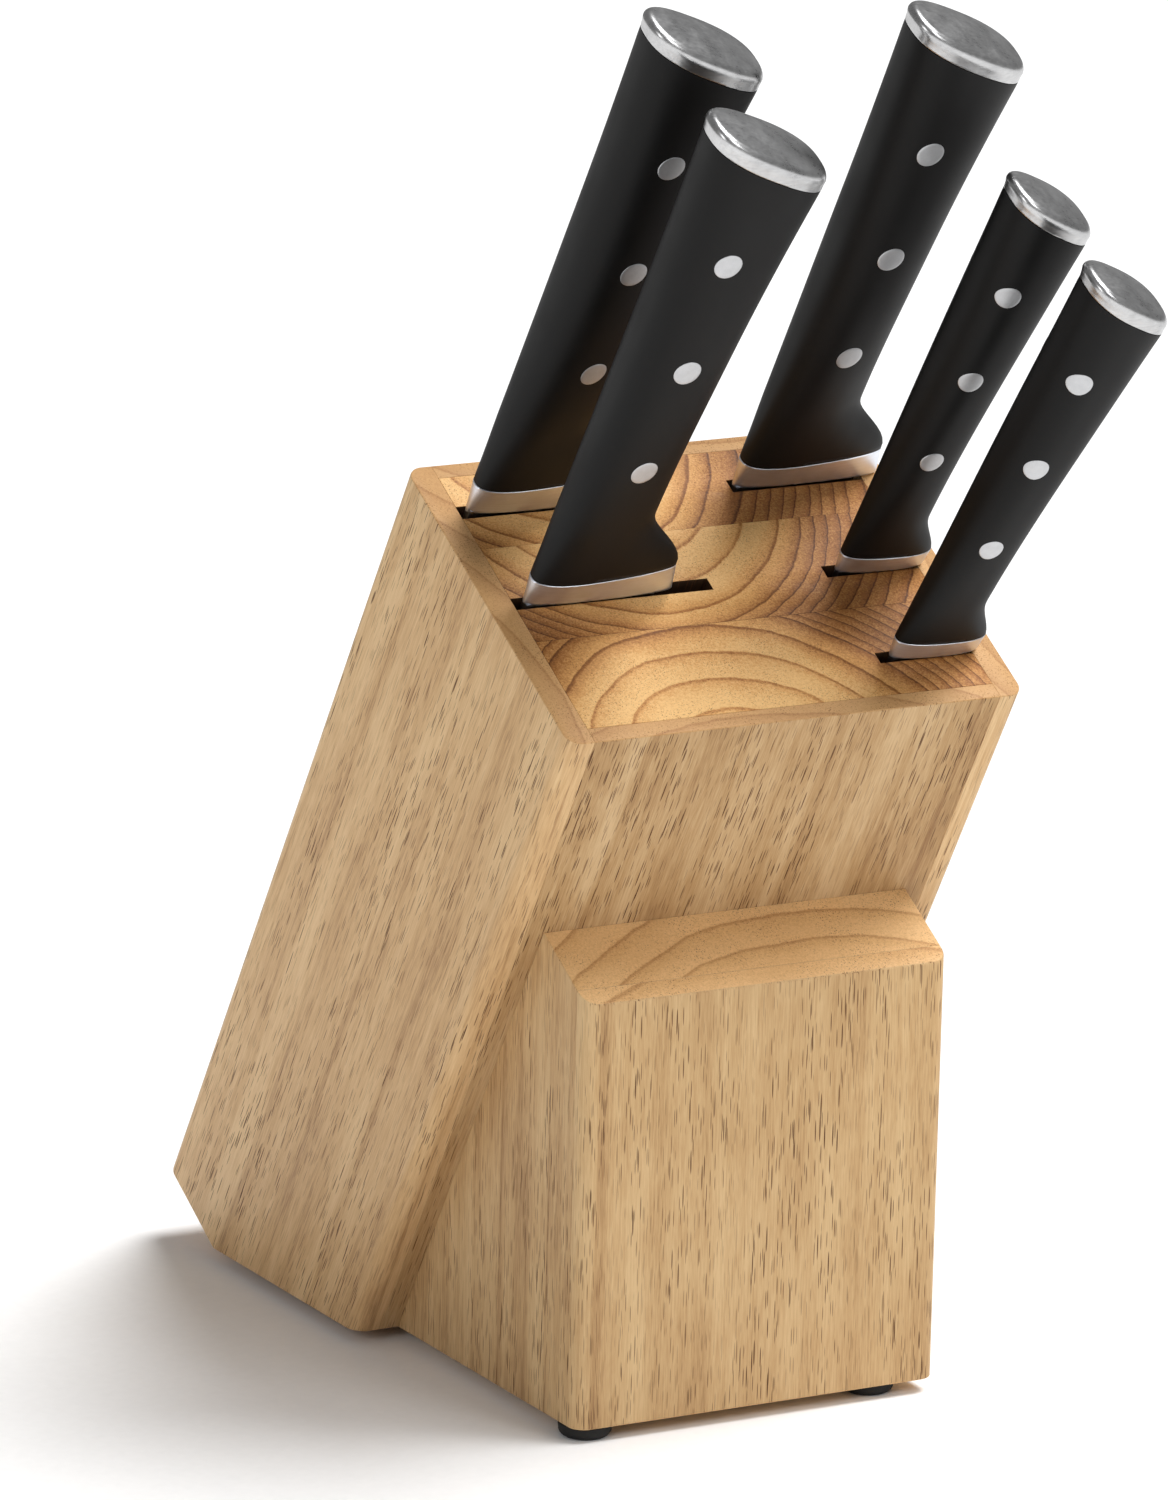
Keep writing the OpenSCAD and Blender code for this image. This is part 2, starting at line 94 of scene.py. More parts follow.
class Shader:
    """One node material, with short ways to add textures and arithmetic."""

    def __init__(self, name):
        self.material = bpy.data.materials.new(name)
        self.material.use_nodes = True
        self.nodes = self.material.node_tree.nodes
        self.links = self.material.node_tree.links
        self.surface = self.nodes["Principled BSDF"]

    def put(self, value, socket):
        """Links an output to a socket, or sets the socket to a constant."""
        if isinstance(value, bpy.types.NodeSocket):
            self.links.new(value, socket)
        else:
            socket.default_value = value

    def math(self, operation, a, b=0.0):
        node = self.nodes.new("ShaderNodeMath")
        node.operation = operation
        self.put(a, node.inputs[0])
        self.put(b, node.inputs[1])
        return node.outputs[0]

    def vector(self, operation, a, b):
        node = self.nodes.new("ShaderNodeVectorMath")
        node.operation = operation
        self.put(a, node.inputs[0])
        self.put(b, node.inputs[1])
        return node.outputs["Value" if operation in ("DOT_PRODUCT", "DISTANCE") else "Vector"]

    def place(self, matrix):
        """Object coordinates in millimetres, in the frame given by a matrix."""
        inverse = matrix.inverted()
        mapping = self.nodes.new("ShaderNodeMapping")
        mapping.inputs["Location"].default_value = inverse.to_translation()
        mapping.inputs["Rotation"].default_value = inverse.to_euler()
        mapping.inputs["Scale"].default_value = inverse.to_scale()
        coordinates = self.nodes.new("ShaderNodeTexCoord")
        self.links.new(coordinates.outputs["Object"], mapping.inputs["Vector"])
        self.normal = coordinates.outputs["Normal"]
        return mapping.outputs["Vector"]

    def noise(self, points, size, detail=2.0, roughness=0.5):
        """Noise whose features are about size millimetres across in each direction."""
        node = self.nodes.new("ShaderNodeTexNoise")
        scaled = self.vector("MULTIPLY", points, tuple(1 / s for s in size))
        self.links.new(scaled, node.inputs["Vector"])
        node.inputs["Scale"].default_value = 1.0
        node.inputs["Detail"].default_value = detail
        node.inputs["Roughness"].default_value = roughness
        return node.outputs[0]

    def cells(self, points, size):
        """Distance to the nearest of scattered points, one for each cell of that size."""
        node = self.nodes.new("ShaderNodeTexVoronoi")
        scaled = self.vector("MULTIPLY", points, tuple(1 / s for s in size))
        self.links.new(scaled, node.inputs["Vector"])
        node.inputs["Scale"].default_value = 1.0
        return node.outputs["Distance"]

    def step(self, value, low, high, to_low=0.0, to_high=1.0, smooth=True):
        """Clamped change from to_low to to_high as value goes from low to high."""
        node = self.nodes.new("ShaderNodeMapRange")
        node.interpolation_type = "SMOOTHSTEP" if smooth else "LINEAR"
        self.put(value, node.inputs["Value"])
        node.inputs["From Min"].default_value = low
        node.inputs["From Max"].default_value = high
        node.inputs["To Min"].default_value = to_low
        node.inputs["To Max"].default_value = to_high
        return node.outputs["Result"]

    def ramp(self, value, stops):
        """Colour ramp through (position, linear colour) stops."""
        node = self.nodes.new("ShaderNodeValToRGB")
        elements = node.color_ramp.elements
        while len(elements) < len(stops):
            elements.new(0.5)
        for element, (position, colour) in zip(elements, stops):
            element.position = position
            element.color = (*colour, 1)
        self.links.new(value, node.inputs[0])
        return node.outputs[0]

    def mix(self, factor, a, b):
        node = self.nodes.new("ShaderNodeMix")
        node.data_type = "RGBA"
        self.put(factor, node.inputs[0])
        self.put(a if isinstance(a, bpy.types.NodeSocket) else (*a, 1), node.inputs[6])
        self.put(b if isinstance(b, bpy.types.NodeSocket) else (*b, 1), node.inputs[7])
        return node.outputs[2]

    def curve(self, value, points):
        """Piecewise linear curve through points between 0 and 1."""
        node = self.nodes.new("ShaderNodeFloatCurve")
        curve = node.mapping.curves[0]
        while len(curve.points) < len(points):
            curve.points.new(0.5, 0.5)
        for point, place in zip(curve.points, points):
            point.location = place
            point.handle_type = "VECTOR"
        node.mapping.update()
        self.links.new(value, node.inputs["Value"])
        return node.outputs[0]

    def bump(self, height, strength, depth_mm):
        node = self.nodes.new("ShaderNodeBump")
        node.inputs["Strength"].default_value = strength
        node.inputs["Distance"].default_value = depth_mm * MM
        self.links.new(height, node.inputs["Height"])
        self.links.new(node.outputs["Normal"], self.surface.inputs["Normal"])

    def finish(self, colour, roughness, **constants):
        self.put(colour if isinstance(colour, bpy.types.NodeSocket) else (*colour, 1),
                 self.surface.inputs["Base Color"])
        self.put(roughness, self.surface.inputs["Roughness"])
        for name, value in constants.items():
            self.surface.inputs[name.replace("_", " ")].default_value = value
        return self.material


# ---------------------------------------------------------------- materials

# Radius at the end of the growth rings' curve
RING_REACH = 120.0

# Wood colours from light to dark: along the grain, then on the end grain, then on the sawn walls of the
# slots, whose near-black tones are painted shade
FACE_TONES = [(0.36, linear(212, 180, 134)), (0.52, linear(192, 156, 110)),
              (0.7, linear(150, 112, 74))]
SIDE_TONES = [(0.36, linear(224, 190, 143)), (0.52, linear(204, 166, 119)),
              (0.7, linear(160, 121, 80))]
# Front skin: a darker copy of the face tones, partly the board's own colour and partly painted shade
# for a face that tilts down
FRONT_OWN_AND_SHADE_TONES = [(0.36, linear(205, 173, 130)), (0.52, linear(181, 145, 100)),
               (0.7, linear(140, 102, 65))]
END_TONES = [(0.12, linear(228, 184, 122)), (0.36, linear(204, 150, 88)),
             (0.6, linear(154, 100, 51)), (0.88, linear(90, 51, 23))]
FOOT_END_TONES = [(0.1, linear(228, 186, 132)), (0.36, linear(206, 162, 108)),
                  (0.7, linear(166, 120, 76))]
STRIP_TONES = [(0.1, linear(200, 156, 104)), (0.5, linear(178, 132, 84)), (0.9, linear(140, 96, 56))]
# Near-black tones of the slot walls: painted shade deep inside the slots
SLOT_SHADE_TONES = [(0.3, linear(74, 50, 31)), (0.5, linear(54, 36, 23)), (0.7, linear(38, 26, 17))]
PORE = linear(82, 48, 25)

# Ring radii of boards whose end grain shows only a few rings
SCATTERED = [8, 15, 22, 29, 35, 42, 48, 55, 61, 68, 75, 81, 88, 95, 102, 110]
# A board without a browner zone: the radius is out of reach
EVEN = 200


def growth_rings(s, radius, rings):
    """How dark the wood is at a radius: each ring darkens smoothly and ends in a thin dark line."""
    count = len(rings)
    marks = [(r / RING_REACH, (i + 1) / (count + 1)) for i, r in enumerate(rings)]
    phase = s.curve(s.math("DIVIDE", radius, RING_REACH), [(0, 0)] + marks + [(1, 1)])
    share = s.math("FRACT", s.math("MULTIPLY", phase, count + 1))
    stops = [(0, 0.4), (0.05, 0.06), (0.5, 0.14), (0.88, 0.44), (0.95, 0.95), (1, 0.9)]
    return s.ramp(share, [(position, (level,) * 3) for position, level in stops])


def pore_mask(s, q):
    """Short dashes along the grain, crowded in some places and rare in others."""
    crowd = s.step(s.noise(q, (7, 7, 60), 3), 0.34, 0.62, 0.25, 1)
    fine = s.step(s.cells(q, (0.42, 0.42, 8)), 0.21, 0.29, 0.85, 0)
    apart = s.vector("ADD", q, (7.7, 3.1, 40))
    streaks = s.step(s.cells(apart, (0.8, 0.8, 15)), 0.16, 0.21, 1, 0)
    return s.math("MULTIPLY", s.math("MAXIMUM", fine, streaks), crowd)


def wood(name, place, pith, rings, seed, faces=FACE_TONES, ends=END_TONES, browner=60.0):
    """Solid wood with its grain along the frame's Z.

    pith is the middle of the growth rings across the board, rings are the radii of the dark lines,
    and past the radius browner the end grain gets darker.
    """
    s = Shader(name)
    p = s.place(place)
    q = s.vector("ADD", p, (seed * 31.7, seed * 17.3, seed * 91.1))
    drift = s.noise(q, (24, 24, 210), 2)
    band = s.noise(q, (8, 8, 260), 3)
    figure = s.noise(q, (2.6, 2.6, 85), 3)
    fibre = s.noise(q, (0.4, 0.4, 9), 3, 0.7)
    cloud = s.noise(q, (16, 16, 42), 3, 0.6)
    grit = s.noise(q, (0.5, 0.5, 0.5), 2, 0.7)

    # Distance from the pith, with a slow wander so that the rings are not quite round
    across = s.vector("MULTIPLY", p, (1, 1, 0))
    radius = s.vector("DISTANCE", across, (*pith, 0))
    radius = s.math("ADD", radius, s.step(drift, 0.2, 0.8, -1.0, 1.0, False))
    radius = s.math("ADD", radius, s.step(figure, 0.2, 0.8, -0.2, 0.2, False))
    late = growth_rings(s, radius, rings)
    brown = s.step(radius, browner - 14, browner + 6)

    # Colour on the faces along the grain
    tone = s.math("ADD", s.math("MULTIPLY", band, 0.34), s.math("MULTIPLY", figure, 0.2))
    tone = s.math("ADD", tone, s.math("MULTIPLY", cloud, 0.34))
    tone = s.math("ADD", tone, s.step(fibre, 0.3, 0.7, -0.07, 0.11, False))
    tone = s.math("ADD", tone, s.math("MULTIPLY", late, 0.1))
    long_colour = s.ramp(tone, faces)

    # Colour on the end grain
    end_tone = s.math("ADD", s.math("MULTIPLY", late, 0.4), s.math("MULTIPLY", brown, 0.36))
    end_tone = s.math("ADD", end_tone, s.math("MULTIPLY", drift, 0.25))
    end_tone = s.math("ADD", end_tone, s.step(grit, 0.25, 0.75, -0.12, 0.16, False))
    end_colour = s.ramp(end_tone, ends)

    grain = (place.to_3x3() @ UP).normalized()
    facing = s.math("ABSOLUTE", s.vector("DOT_PRODUCT", s.normal, tuple(grain)))
    end = s.step(facing, 0.55, 0.8)
    colour = s.mix(end, long_colour, end_colour)

    pores = pore_mask(s, q)
    shown = s.step(end, 0, 1, 0.95, 0.55)
    colour = s.mix(s.math("MULTIPLY", pores, shown), colour, PORE)
    gloss = s.step(figure, 0.2, 0.8, 0.44, 0.54, False)
    roughness = s.math("ADD", s.math("MULTIPLY", pores, 0.2), gloss)
    height = s.math("SUBTRACT", s.math("MULTIPLY", fibre, 0.35), pores)
    s.bump(height, 0.35, 0.12)
    return s.finish(colour, roughness, Specular_IOR_Level=0.2)


def plastic(name):
    """Matte black plastic with a fine moulded grain."""
    s = Shader(name)
    p = s.place(LEANING)
    grain = s.noise(p, (0.22, 0.22, 0.22), 2, 0.6)
    rub = s.noise(p, (9, 9, 16), 3)
    s.bump(grain, 0.22, 0.04)
    colour = s.ramp(rub, [(0.3, linear(8, 8, 8)), (0.7, linear(14, 13, 13))])
    return s.finish(colour, s.step(rub, 0.25, 0.75, 0.46, 0.56, False), Specular_IOR_Level=0.18)


def steel(name, colours, roughness, brush, mottle, bump):
    """Brushed steel: brush gives the size of a scratch in each direction of the knife."""
    s = Shader(name)
    p = s.place(LEANING)
    lines = s.noise(p, brush, 3, 0.65)
    clouds = s.noise(p, (mottle, mottle, mottle), 3, 0.6)
    mixed = s.math("ADD", s.math("MULTIPLY", lines, 0.45), s.math("MULTIPLY", clouds, 0.55))
    colour = s.ramp(mixed, [(0.3, colours[0]), (0.7, colours[1])])
    s.bump(lines, bump, 0.03)
    return s.finish(colour, s.step(mixed, 0.25, 0.75, *roughness, False), Metallic=1.0)


def rubber(name):
    """Dull black rubber."""
    s = Shader(name)
    p = s.place(UPRIGHT)
    dust = s.noise(p, (0.6, 0.6, 0.6), 3, 0.6)
    s.bump(dust, 0.3, 0.08)
    colour = s.ramp(dust, [(0.3, linear(22, 22, 22)), (0.75, linear(38, 37, 36))])
    return s.finish(colour, s.step(dust, 0.3, 0.7, 0.6, 0.75, False), Specular_IOR_Level=0.3)


def floor_paper():
    """Pale matt paper."""
    s = Shader("floor_paper")
    p = s.place(UPRIGHT)
    tooth = s.noise(p, (2, 2, 2), 2)
    s.bump(tooth, 0.05, 0.1)
    colour = s.ramp(tooth, [(0.2, (0.9, 0.9, 0.9)), (0.8, (0.93, 0.93, 0.93))])
    return s.finish(colour, 0.9, Specular_IOR_Level=0.1)


BLADE_STEEL = steel("blade_brushed_steel", (linear(176, 177, 180), linear(192, 193, 195)), (0.26, 0.32),
                    (14, 14, 0.12), 30, 0.04)
BOLSTER_STEEL = steel("bolster_brushed_steel", (linear(216, 220, 228), linear(236, 240, 248)),
                      (0.36, 0.48), (8, 8, 0.25), 5, 0.16)
CAP_STEEL = steel("cap_brushed_steel", (linear(166, 166, 167), linear(206, 206, 206)), (0.24, 0.36),
                  (6, 0.5, 0.5), 4.5, 0.03)
RIVET_STEEL = steel("rivet_steel", (linear(184, 185, 187), linear(202, 203, 205)), (0.46, 0.56),
                    (0.2, 0.2, 0.2), 2, 0.12)
SCREW_STEEL = steel("screw_steel", (linear(150, 150, 150), linear(180, 180, 180)), (0.35, 0.45),
                    (0.3, 0.3, 0.3), 2, 0.1)
BLACK_PLASTIC = plastic("handle_black_plastic")
BLACK_RUBBER = rubber("foot_black_rubber")


# ---------------------------------------------------------------- meshes

# Distance in millimetres within which a point lies on a plane
ON_PLANE = 0.01
# Angle between two faces, in radians, from which their edge is softened
SHARP_ANGLE = 0.5
# Share of a face's normal along the grain that makes it an end face
END_FACE = 0.8


def new_piece(name, mesh, material, body, nodes, sharp):
    """Object of a finished mesh that rides on a body and stands for CAD nodes."""
    piece = bpy.data.objects.new(name, mesh)
    bpy.context.scene.collection.objects.link(piece)
    mesh.shade_smooth()
    mesh.set_sharp_from_angle(angle=math.radians(sharp))
    mesh.materials.append(material)
    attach(piece, body)
    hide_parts(*nodes)


def mesh_of(name, verts, faces, place):
    """Mesh of millimetre points, placed in the part's frame."""
    mesh = bpy.data.meshes.new(name)
    mesh.from_pydata([place @ Vector(v) for v in verts], [], faces)
    bm = bmesh.new()
    bm.from_mesh(mesh)
    bmesh.ops.recalc_face_normals(bm, faces=bm.faces)
    bm.to_mesh(mesh)
    bm.free()
    return mesh


class Shape:
    """Vertices and faces of several closed lofts."""

    def __init__(self):
        self.verts = []
        self.faces = []

    def loft(self, rings):
        """Closed skin through rings with the same number of points."""
        start = len(self.verts)
        count = len(rings[0])
        for ring in rings:
            self.verts.extend(ring)
        for r in range(len(rings) - 1):
            for i in range(count):
                a = start + r * count + i
                b = start + r * count + (i + 1) % count
                self.faces.append((a, b, b + count, a + count))
        last = start + (len(rings) - 1) * count
        self.faces.append(tuple(start + i for i in range(count))[::-1])
        self.faces.append(tuple(last + i for i in range(count)))


def prism(outline, low, high):
    """Upright solid with a flat outline."""
    bm = bmesh.new()
    bottom = [bm.verts.new((x, y, low)) for x, y in outline]
    top = [bm.verts.new((x, y, high)) for x, y in outline]
    bm.faces.new(bottom[::-1])
    bm.faces.new(top)
    for i in range(len(outline)):
        j = (i + 1) % len(outline)
        bm.faces.new((bottom[i], bottom[j], top[j], top[i]))
    return bm


def cut(bm, point, normal):
    """Removes what lies on the normal's side of a plane and closes the cut."""
    everything = bm.verts[:] + bm.edges[:] + bm.faces[:]
    bmesh.ops.bisect_plane(bm, geom=everything, plane_co=point, plane_no=normal, clear_outer=True)
    open_edges = [e for e in bm.edges if e.is_boundary]
    bmesh.ops.holes_fill(bm, edges=open_edges, sides=0)


def lies_on(face, planes):
    """Whether a face lies on one of some planes."""
    for point, normal in planes:
        if all(abs((v.co - point).dot(normal)) < ON_PLANE for v in face.verts):
            return True
    return False


def sharp_edges(bm, glued, free, ends_only):
    """Edges between two free faces, or else the edges where a glued face meets a free one."""
    found = []
    for edge in bm.edges:
        if len(edge.link_faces) != 2 or edge.calc_face_angle() < SHARP_ANGLE:
            continue
        marks = [lies_on(f, glued) for f in edge.link_faces]
        if free and not any(marks):
            if not ends_only or any(abs(f.normal.z) > END_FACE for f in edge.link_faces):
                found.append(edge)
        if not free and sum(marks) == 1:
            found.append(edge)
    return found


def soften(bm, glued, rim, seam, ends_only=False):
    """Rounds the free edges by rim and eases the edges beside a glued face by seam."""
    bm.normal_update()
    for free, width, rounds in ((True, rim, 3), (False, seam, 1)):
        edges = sharp_edges(bm, glued, free, ends_only)
        if edges:
            bmesh.ops.bevel(bm, geom=edges, offset=width, offset_type="OFFSET", segments=rounds,
                            profile=0.5, affect="EDGES", clamp_overlap=True)


def board(name, bm, place, glued, material, slot, nodes, rim=0.45, seam=0.07, ends_only=False):
    """One board of the block, from its plain shape in a millimetre frame."""
    soften(bm, glued, rim, seam, ends_only)
    bmesh.ops.transform(bm, matrix=place, verts=bm.verts)
    bmesh.ops.recalc_face_normals(bm, faces=bm.faces)
    mesh = bpy.data.meshes.new(name)
    bm.to_mesh(mesh)
    bm.free()
    new_piece(name, mesh, material, "block", nodes, 20)


# Radius of the long edges of the block and of the foot block
EDGE_ROUND = 3.6
ARC_STEPS = 10


def quarter(centre_x, centre_y, radius, start, steps):
    """Points of a quarter circle, anticlockwise from an angle in degrees."""
    angles = [math.radians(start + 90 * i / steps) for i in range(steps + 1)]
    return [(centre_x + radius * math.cos(a), centre_y + radius * math.sin(a)) for a in angles]


def slab_outline(x0, x1, y0, y1, round_left=(), round_right=()):
    """Rectangle, anticlockwise, whose named corners ("front", "back") are rounded."""
    r = EDGE_ROUND
    corners = [
        quarter(x0 + r, y0 + r, r, 180, ARC_STEPS) if "front" in round_left else [(x0, y0)],
        quarter(x1 - r, y0 + r, r, 270, ARC_STEPS) if "front" in round_right else [(x1, y0)],
        quarter(x1 - r, y1 - r, r, 0, ARC_STEPS) if "back" in round_right else [(x1, y1)],
        quarter(x0 + r, y1 - r, r, 90, ARC_STEPS) if "back" in round_left else [(x0, y1)],
    ]
    return [point for corner in corners for point in corner]


# ---------------------------------------------------------------- the leaning block

BLOCK_LOW, BLOCK_HIGH = box_in(LEANING, "side_board_left", "side_board_right")
CORE_HALF = box_in(LEANING, "back_skin", "core_middle_fore")[1].x
FRONT_T = box_in(LEANING, "front_skin")[1].y
BACK_T = box_in(LEANING, "back_skin")[0].y
FLOOR_NORMAL = LEANING.to_3x3().transposed() @ -UP


def across(axis, value):
    """Plane at right angles to an axis of the block, as a point and a normal."""
    normal = Vector((axis == "x", axis == "y", axis == "z"))
    return normal * value, normal


def leaning_board(name, outline, glued, material, slot, nodes, **edges):
    """Board of the leaning block, cut off level with the block's flat underside."""
    bm = prism(outline, BLOCK_LOW.z, BLOCK_HIGH.z)
    cut(bm, Vector((0, 0, 0)), FLOOR_NORMAL)
    board(name, bm, LEANING, glued, material, slot, nodes, **edges)


def side_boards():
    x, inner = BLOCK_HIGH.x, CORE_HALF
    y0, y1 = BLOCK_LOW.y, BLOCK_HIGH.y
    corners = ("front", "back")
    rows = [
        ("left", slab_outline(-x, -inner, y0, y1, round_left=corners), -inner, (-130, 12), 3),
        ("right", slab_outline(inner, x, y0, y1, round_right=corners), inner, (125, 30), 5),
    ]
    for side, outline, seam, pith, seed in rows:
        material = wood(f"side_wood_{side}", LEANING, pith, SCATTERED, seed,
                        SIDE_TONES, STRIP_TONES, EVEN)
        leaning_board(f"wood_side_{side}", outline, [across("x", seam)], material, "side_wood",
                      [f"side_board_{side}"])


def skins():
    inner = CORE_HALF
    # The front skin's darker tones are partly painted shade
    rows = [
        ("front", BLOCK_LOW.y, FRONT_T, FRONT_T, (-12, -85), 8, FRONT_OWN_AND_SHADE_TONES),
        ("back", BACK_T, BLOCK_HIGH.y, BACK_T, (20, 170), 11, FACE_TONES),
    ]
    for side, y0, y1, seam, pith, seed, tones in rows:
        glued = [across("x", -inner), across("x", inner), across("y", seam)]
        outline = slab_outline(-inner, inner, y0, y1)
        material = wood(f"{side}_skin_wood", LEANING, pith, SCATTERED, seed, tones, STRIP_TONES, EVEN)
        leaning_board(f"wood_{side}_skin", outline, glued, material, "face_wood", [f"{side}_skin"])


def core_outline(x, y0, y1, web_low, web_high):
    """Core board with its saw cuts: a web that stops short of an edge leaves a slot there."""
    points = [(-x, y0), (x, y0)]
    if web_high.x < x - 1:
        points += [(x, web_low.y), (web_high.x, web_low.y), (web_high.x, web_high.y), (x, web_high.y)]
    points += [(x, y1), (-x, y1)]
    if web_low.x > 1 - x:
        points += [(-x, web_high.y), (web_low.x, web_high.y), (web_low.x, web_low.y), (-x, web_low.y)]
    return points


# Core boards: middle of the rings, radii of the dark lines, start of the browner zone, seed
CORE_WOOD = [
    ("front", (-15, -15),
     [11, 20, 29.5, 37.5, 45, 51, 53.4, 56.2, 58.6, 61.4, 63.8, 67, 70, 73], 49, 2),
    ("middle", (-13, 73),
     [14, 23, 31, 39, 44.3, 47.4, 50, 52.8, 55.3, 58.4, 61, 64, 68, 72, 76], 46, 4),
    ("back", (-21, 89),
     [16, 26, 34.2, 38.6, 45.3, 48.5, 51.2, 54, 56.4, 59.6, 62, 65, 68, 72], 40, 6),
]


def core_boards():
    x = CORE_HALF
    for name, pith, rings, browner, seed in CORE_WOOD:
        nodes = [f"core_{name}_{part}" for part in ("fore", "web", "aft")]
        low, high = box_in(LEANING, *nodes)
        outline = core_outline(x, low.y, high.y, *box_in(LEANING, nodes[1]))
        glued = [across("x", -x), across("x", x), across("y", low.y), across("y", high.y)]
        # The slot walls take the near-black slot tones, which are painted shade
        material = wood(f"core_{name}_wood", LEANING, pith, rings, seed,
                        SLOT_SHADE_TONES, END_TONES, browner)
        leaning_board(f"wood_core_{name}", outline, glued, material, "core_wood", nodes,
                      rim=0.22, ends_only=True)


# ---------------------------------------------------------------- the foot block

def foot_boards():
    low, high = box_in(UPRIGHT, "foot_core", "foot_face")
    face_back = box_in(UPRIGHT, "foot_face")[1].y
    lean_high = box_in(LEANING, "foot_core")[1].z
    tilt = Matrix.Rotation(LEAN, 3, "X")
    back_normal = tilt @ Vector((0, 1, 0))
    top_normal = tilt @ UP
    origin = Vector((0, 0, 0))
    seam_point, seam_normal = Vector((0, face_back, 0)), Vector((0, 1, 0))
    seam = (seam_point, seam_normal)
    rows = [
        ("core", -1, (12, -150), 13, [seam, (origin, back_normal)], "foot_wood"),
        ("face", 1, (6, -190), 17, [seam], "face_wood"),
    ]
    for name, side, pith, seed, glued, slot in rows:
        outline = slab_outline(low.x, high.x, low.y, -low.y, ("front",), ("front",))
        bm = prism(outline, low.z, high.z + 30)
        cut(bm, origin, back_normal)
        cut(bm, top_normal * lean_high, top_normal)
        cut(bm, seam_point, seam_normal * side)
        material = wood(f"foot_{name}_wood", UPRIGHT, pith, SCATTERED, seed,
                        FACE_TONES, FOOT_END_TONES, EVEN)
        board(f"wood_foot_{name}", bm, UPRIGHT, glued, material, slot, [f"foot_{name}"])
    dowel = wood("dowel_wood", LEANING, (3, 60), SCATTERED, 19)
    frame["nodes"]["foot_dowels"].data.materials.clear()
    frame["nodes"]["foot_dowels"].data.materials.append(dowel)


CORNERS = ("front_left", "front_right", "rear_left", "rear_right")


def upright_box(node):
    """Lowest and highest corner of a CAD node, in millimetres in the upright frame."""
    inverse = UPRIGHT.inverted()
    return [inverse @ Vector(corner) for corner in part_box(node)]


def lathe(shape, profile, centre, steps):
    """Adds a turned solid: profile is radius and height from the lowest middle round to the top."""
    rings = []
    for radius, height in profile:
        ring = []
        for i in range(steps):
            angle = 2 * math.pi * i / steps
            ring.append((centre.x + radius * math.cos(angle), centre.y + radius * math.sin(angle),
                         centre.z + height))
        rings.append(ring)
    shape.loft(rings)


def rubber_feet():
    """Turned feet with a round lower edge and a recess for the screw."""
    for name in CORNERS:
        low, high = upright_box(f"foot_{name}")
        centre = Vector(((low.x + high.x) / 2, (low.y + high.y) / 2, low.z))
        radius, tall = (high.x - low.x) / 2, high.z - low.z
        profile = [(0.05, 1.9), (2.4, 1.9), (2.9, 1.7), (2.95, 0.3)]
        profile += quarter(3.25, 0.3, 0.3, 180, 3)
        profile += quarter(radius - 1.7, 1.6, 1.6, 270, 8)
        profile += quarter(radius - 0.25, tall - 0.3, 0.25, 0, 3)
        profile += [(0.05, tall - 0.02)]
        shape = Shape()
        lathe(shape, profile, centre, 64)
        mesh = mesh_of(f"rubber_{name}", shape.verts, shape.faces, UPRIGHT)
        new_piece(f"rubber_{name}", mesh, BLACK_RUBBER, "block", [f"foot_{name}"], 40)


def foot_screws():
    """Pan heads in the recesses of the rubber feet, with their shanks up in the wood."""
    shape = Shape()
    base, top = upright_box("foot_screws")
    tall = top.z - base.z
    profile = [(0.4, 0.5), (0.7, 0.12), (1.4, 0.04), (2.2, 0.2), (2.7, 0.6), (2.75, 1.1), (1.3, 1.2),
               (1.3, tall - 1.5), (0.1, tall)]
    for name in CORNERS:
        low, high = upright_box(f"foot_{name}")
        lathe(shape, profile, Vector(((low.x + high.x) / 2, (low.y + high.y) / 2, base.z)), 40)
    mesh = mesh_of("steel_screws", shape.verts, shape.faces, UPRIGHT)
    new_piece("steel_screws", mesh, SCREW_STEEL, "block", ["foot_screws"], 40)


# ---------------------------------------------------------------- the knives

# Points around a handle and a rivet, and steps along the parts of a knife
SECTION_POINTS = 96
RIVET_POINTS = 40
HANDLE_STEPS = 72
BOLSTER_STEPS = 14
RIM_STEPS = 12
DOME_STEPS = 20
# Exponent of the rounded section of handle, bolster and cap
SECTION_POWER = 2.55
# Radius of the cap's rim, its widening and the height of its dome
CAP_ROUND = 2.2
CAP_FLARE = 0.2
CAP_DOME = 0.75
# Depth of the narrow top of a blade, which stays inside its bolster's width
HEEL_DROP = 1.4
# Scallops along the edge of the bread knife
SCALLOPS = 26
# Rounded end of a rivet: share of its radius, and how far it stands proud of the handle
RIVET_END = [(0.02, 0.1), (0.25, 0.1), (0.5, 0.1), (0.75, 0.1), (0.93, 0.09), (0.98, 0.05),
             (1.0, -0.05)]

# The two kinds of handle, in millimetres: butt is the end at the cap, waist the narrowest place,
# guard the widest place above the bolster, joint the seam of handle and bolster, foot the bolster's
# lower end. rise bends the spine, wedge thins a section towards the edge, and thickens is the share
# of the length over which the handle grows thick.
LARGE = dict(
    butt_w=28.8, butt_t=16.8, waist_x=23.7, waist_z=24.0, guard_x=34.0, guard_z=7.6,
    rise=5.2, thickens=0.58, wedge=0.36, joint_t=7.0,
    bolster_h=7.0, foot_t=3.7, foot_wedge=0.12, foot_reach=1.0,
    cap_slope=0.44, cap_h=4.6, rivet_d=6.0, rivet_step=28.2, tang_w=10,
)
SMALL = dict(
    butt_w=20.4, butt_t=15.6, waist_x=16.8, waist_z=16.0, guard_x=22.0, guard_z=2.6,
    rise=3.5, thickens=0.78, wedge=-0.1, joint_t=6.5,
    bolster_h=4.9, foot_t=4.0, foot_wedge=-0.1, foot_reach=-0.5,
    cap_slope=0.51, cap_h=4.3, rivet_d=5.2, rivet_step=23.0, tang_w=6,
)
